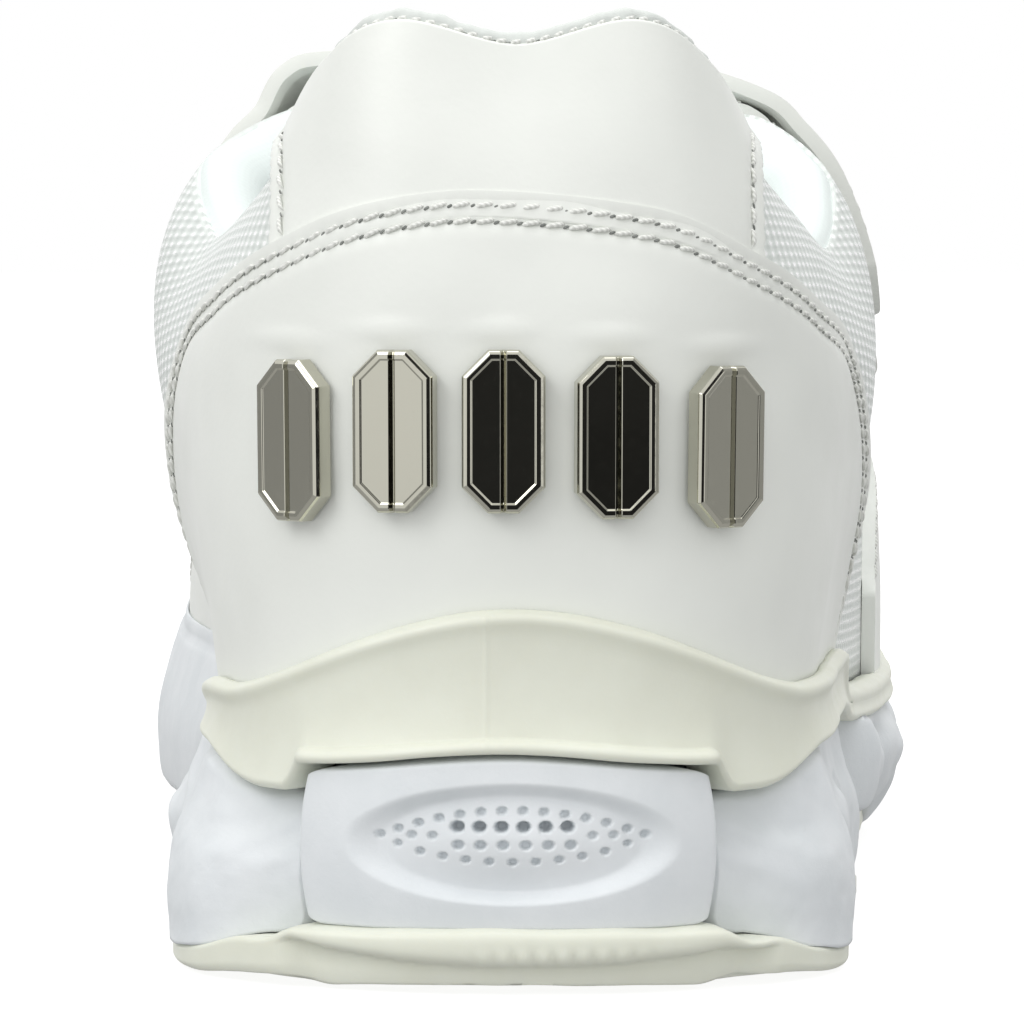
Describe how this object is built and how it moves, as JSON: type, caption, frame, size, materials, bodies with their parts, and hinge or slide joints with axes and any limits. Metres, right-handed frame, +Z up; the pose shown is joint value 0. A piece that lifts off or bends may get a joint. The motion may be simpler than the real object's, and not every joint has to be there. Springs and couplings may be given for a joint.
{
  "type": "cheer shoe",
  "caption": "White low-top cheer trainer for the right foot: mesh upper with leather panels, hook-and-loop straps, padded collar, podded foam sole.",
  "frame": {"origin": "centre of the bounding box at floor level", "axes": "+Y from heel to toe, +Z up, +X to the wearer's right, which is the lateral side of this right-foot shoe"},
  "size_m": [0.0982, 0.2602, 0.1005],
  "materials": {
    "white_mesh": "open spacer mesh, white",
    "white_leather": "smooth coated leather, satin",
    "white_foam": "fine matt foam",
    "cream_rubber": "satin moulded rubber",
    "lining_fabric": "soft knitted lining",
    "stiffener_board": "fibre board",
    "hook_and_loop": "napped tape",
    "polished_chrome": "mirror plating on moulded plastic"
  },
  "bodies": {
    "shoe": {"outsole_heel": "cream_rubber", "outsole_forefoot": "cream_rubber", "arch_shank": "cream_rubber", "sole_cup": "cream_rubber", "midsole_foam": "white_foam", "heel_capsule": "white_foam", "heel_pod_lateral": "white_foam", "heel_pod_medial": "white_foam", "lasting_board": "stiffener_board", "heel_stiffener": "stiffener_board", "toe_puff": "stiffener_board", "insole": "lining_fabric", "heel_lining": "lining_fabric", "collar_foam": "lining_fabric", "tongue_base": "lining_fabric", "mesh_upper": "white_mesh", "heel_counter_panel": "white_leather", "collar_back_panel": "white_leather", "toe_cap": "white_leather", "throat_facing_lateral": "white_leather", "throat_facing_medial": "white_leather", "side_overlay_lateral": "white_leather", "side_overlay_medial": "white_leather", "instep_strap_anchor": "white_leather", "forefoot_strap_anchor": "white_leather", "instep_loop_pad": "hook_and_loop", "forefoot_loop_pad": "hook_and_loop", "badge_1": "polished_chrome", "badge_2": "polished_chrome", "badge_3": "polished_chrome", "badge_4": "polished_chrome", "badge_5": "polished_chrome"},
    "instep_strap": {"instep_strap": "white_leather", "instep_hook_pad": "hook_and_loop"},
    "forefoot_strap": {"forefoot_strap": "white_leather", "forefoot_hook_pad": "hook_and_loop"},
    "tongue": {"tongue_flap": "lining_fabric"}
  },
  "joints": [
    {"name": "instep_strap_hinge", "type": "hinge", "parent": "shoe", "child": "instep_strap", "pos_m": [-0.03845, -0.00564, 0.06946], "axis": [-0.0504, -0.9937, 0.0998], "range_deg": [0, 140]},
    {"name": "forefoot_strap_hinge", "type": "hinge", "parent": "shoe", "child": "forefoot_strap", "pos_m": [-0.04004, 0.0279, 0.05997], "axis": [0.0035, -0.9809, 0.1945], "range_deg": [0, 140]},
    {"name": "tongue_tilt", "type": "hinge", "parent": "shoe", "child": "tongue", "pos_m": [-0.00094, 0.00572, 0.08857], "axis": [-1, 0, 0], "range_deg": [0, 35]}
  ],
  "couplings": [
    {"joint": "tongue_tilt", "follows": "instep_strap_hinge", "ratio": 0.25}
  ]
}
